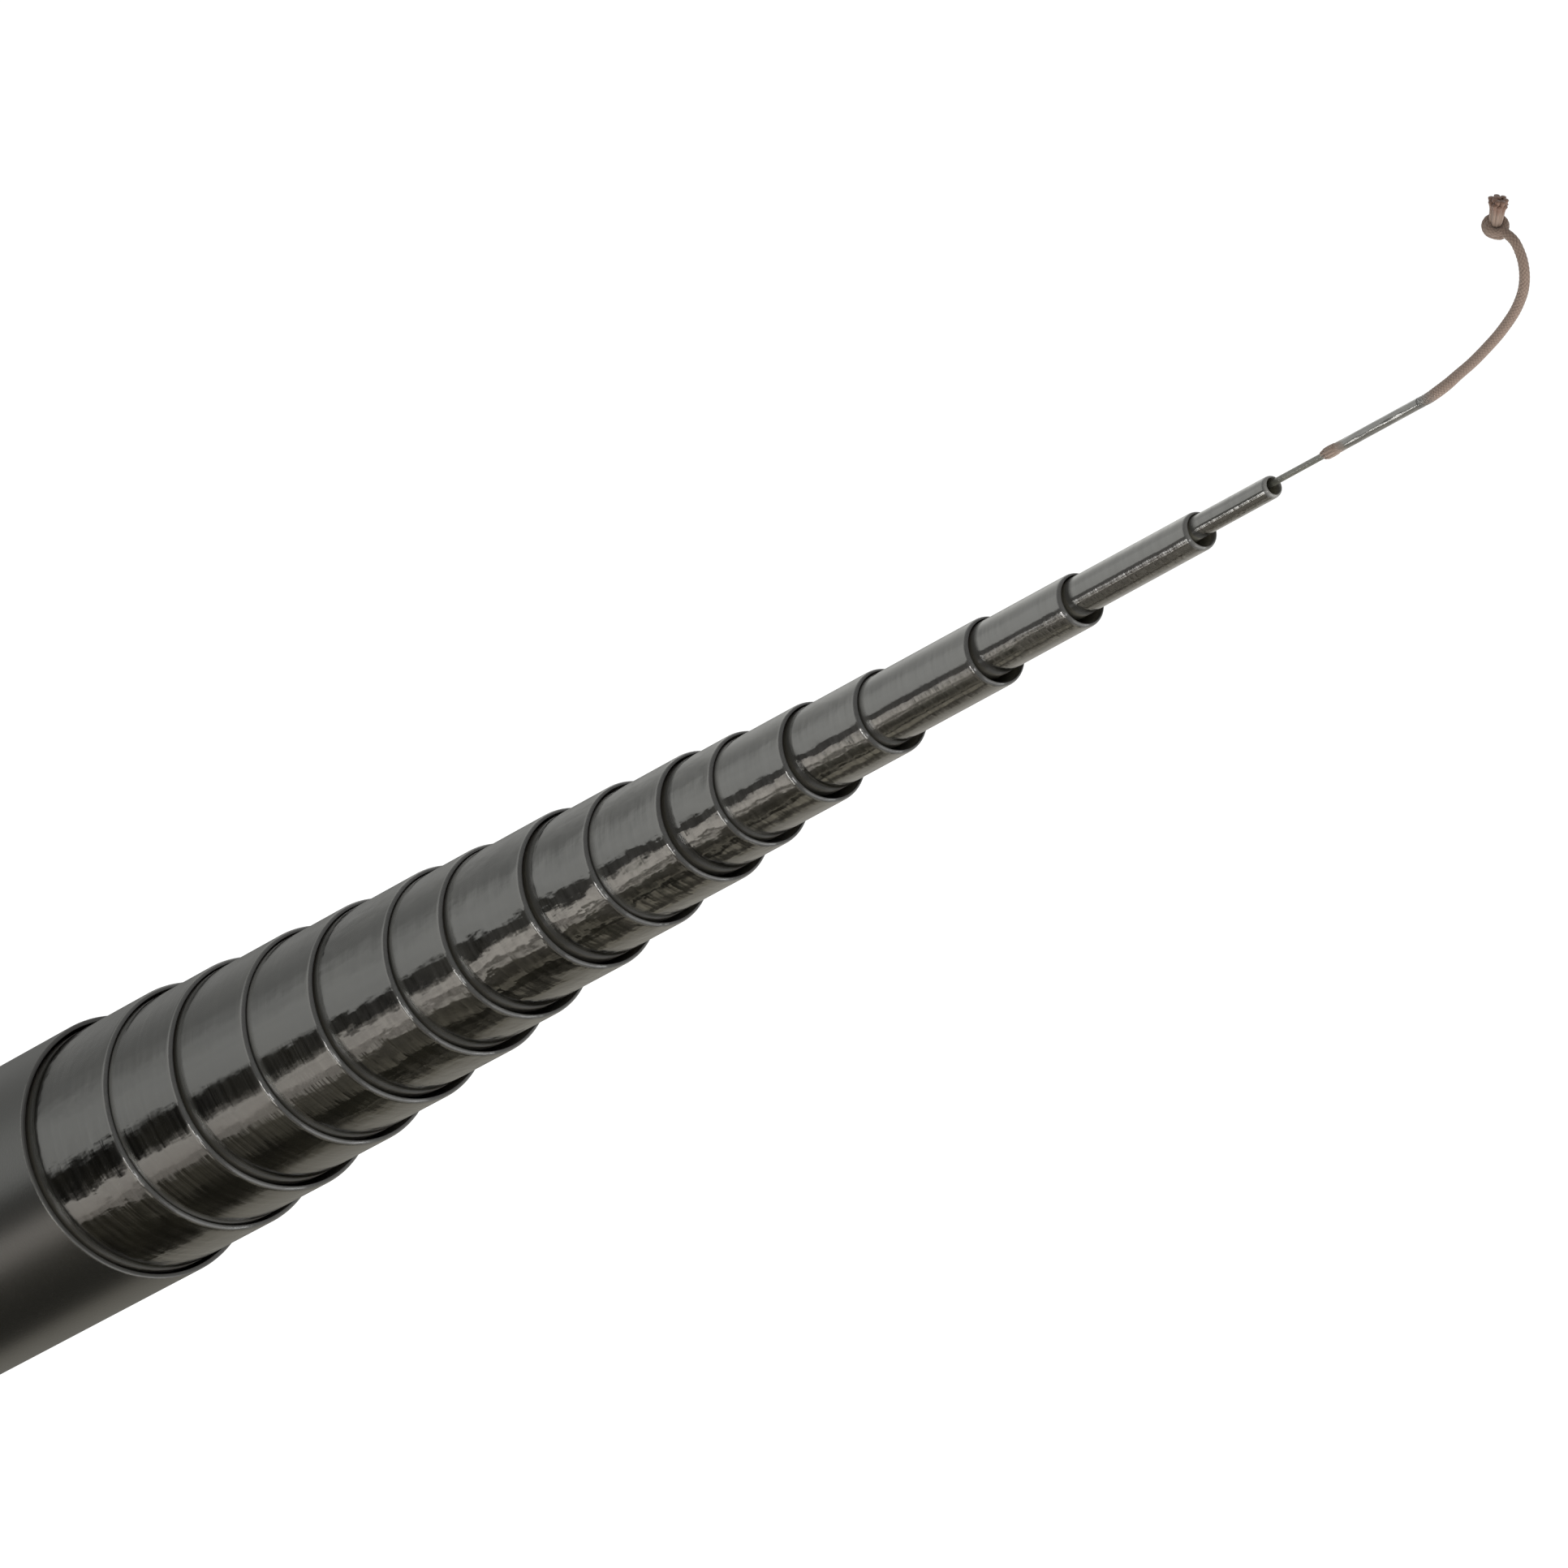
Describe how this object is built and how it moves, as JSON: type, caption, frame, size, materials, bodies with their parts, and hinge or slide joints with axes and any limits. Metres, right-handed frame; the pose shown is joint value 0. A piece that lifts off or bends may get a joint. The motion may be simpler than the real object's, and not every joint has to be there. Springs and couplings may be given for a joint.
{
  "type": "telescopic fishing rod",
  "caption": "Closed telescopic fishing pole of nested tapered carbon tubes that slide out and jam in each other, with a braided tip cord and a screw butt cap.",
  "frame": {"origin": "centre of the foot ring's underside, on which the closed pole stands", "axes": "+Z along the pole from the butt cap to the tip; the nested sections lean and the tip cord bends towards -X"},
  "size_m": [0.0391, 0.0368, 0.7827],
  "materials": {
    "butt_paint": "matte grey-black paint on carbon tube",
    "carbon_lacquer": "clear lacquer over black carbon tube",
    "tip_lacquer": "lacquered solid carbon",
    "sleeve_lacquer": "grey lacquer over glued braid",
    "braided_cord": "tan braided cord",
    "dark_anodised": "dark anodised, knurled",
    "bare_aluminium": "turned",
    "black_rubber": "matte",
    "grey_foam": "closed-cell foam"
  },
  "bodies": {
    "butt": {"butt_tube": "butt_paint", "thread_ring": "bare_aluminium"},
    "section_02": {"section_02": "carbon_lacquer"},
    "section_03": {"section_03": "carbon_lacquer"},
    "section_04": {"section_04": "carbon_lacquer"},
    "section_05": {"section_05": "carbon_lacquer"},
    "section_06": {"section_06": "carbon_lacquer"},
    "section_07": {"section_07": "carbon_lacquer"},
    "section_08": {"section_08": "carbon_lacquer"},
    "section_09": {"section_09": "carbon_lacquer"},
    "section_10": {"section_10": "carbon_lacquer"},
    "section_11": {"section_11": "carbon_lacquer"},
    "section_12": {"section_12": "carbon_lacquer"},
    "section_13": {"section_13": "carbon_lacquer"},
    "section_14": {"section_14": "carbon_lacquer"},
    "section_15": {"section_15": "carbon_lacquer"},
    "section_16": {"section_16": "carbon_lacquer"},
    "section_17": {"section_17": "carbon_lacquer"},
    "tip": {"tip_section": "tip_lacquer", "lillian_sleeve": "sleeve_lacquer", "lillian_cord": "braided_cord", "lillian_knot": "braided_cord"},
    "shock_pad": {"shock_pad": "grey_foam"},
    "butt_cap": {"butt_cap": "dark_anodised", "cap_o_ring": "black_rubber", "cap_foot": "black_rubber"}
  },
  "joints": [
    {"name": "section_02_slide", "type": "slide", "parent": "butt", "child": "section_02", "axis": [0.0001, -0.0007, 1], "range_m": [0, 0.4055]},
    {"name": "section_03_slide", "type": "slide", "parent": "section_02", "child": "section_03", "axis": [0.0001, 0.0007, 1], "range_m": [0, 0.42468]},
    {"name": "section_04_slide", "type": "slide", "parent": "section_03", "child": "section_04", "axis": [0.0006, -0.0004, 1], "range_m": [0, 0.44045]},
    {"name": "section_05_slide", "type": "slide", "parent": "section_04", "child": "section_05", "axis": [0.0005, 0.0006, 1], "range_m": [0, 0.45732]},
    {"name": "section_06_slide", "type": "slide", "parent": "section_05", "child": "section_06", "axis": [0.0006, -0.0004, 1], "range_m": [0, 0.4731]},
    {"name": "section_07_slide", "type": "slide", "parent": "section_06", "child": "section_07", "axis": [0.0007, 0.0003, 1], "range_m": [0, 0.49007]},
    {"name": "section_08_slide", "type": "slide", "parent": "section_07", "child": "section_08", "axis": [0.0007, -0.0001, 1], "range_m": [0, 0.50295]},
    {"name": "section_09_slide", "type": "slide", "parent": "section_08", "child": "section_09", "axis": [0.0004, -0.0006, 1], "range_m": [0, 0.52063]},
    {"name": "section_10_slide", "type": "slide", "parent": "section_09", "child": "section_10", "axis": [0.0004, 0.0006, 1], "range_m": [0, 0.5348]},
    {"name": "section_11_slide", "type": "slide", "parent": "section_10", "child": "section_11", "axis": [0.0005, -0.0006, 1], "range_m": [0, 0.55097]},
    {"name": "section_12_slide", "type": "slide", "parent": "section_11", "child": "section_12", "axis": [0.0005, 0.0006, 1], "range_m": [0, 0.56215]},
    {"name": "section_13_slide", "type": "slide", "parent": "section_12", "child": "section_13", "axis": [0.0006, -0.0004, 1], "range_m": [0, 0.57742]},
    {"name": "section_14_slide", "type": "slide", "parent": "section_13", "child": "section_14", "axis": [0.0005, 0.0005, 1], "range_m": [0, 0.593]},
    {"name": "section_15_slide", "type": "slide", "parent": "section_14", "child": "section_15", "axis": [0.0007, -0.0002, 1], "range_m": [0, 0.61598]},
    {"name": "section_16_slide", "type": "slide", "parent": "section_15", "child": "section_16", "axis": [0.0006, -0.0004, 1], "range_m": [0, 0.63465]},
    {"name": "section_17_slide", "type": "slide", "parent": "section_16", "child": "section_17", "axis": [0.0007, 0.0002, 1], "range_m": [0, 0.65922]},
    {"name": "tip_slide", "type": "slide", "parent": "section_17", "child": "tip", "axis": [0.0005, -0.0005, 1], "range_m": [0, 0.675]},
    {"name": "cap_draw", "type": "slide", "parent": "butt", "child": "shock_pad", "axis": [0, 0, -1], "range_m": [0, 0.012]},
    {"name": "cap_turn", "type": "hinge", "parent": "shock_pad", "child": "butt_cap", "pos_m": [0, 0, 0.01], "axis": [0, 0, -1], "range_deg": [0, 2160]}
  ],
  "couplings": [
    {"joint": "cap_draw", "follows": "cap_turn", "m_per_rad": 0.00031831}
  ]
}
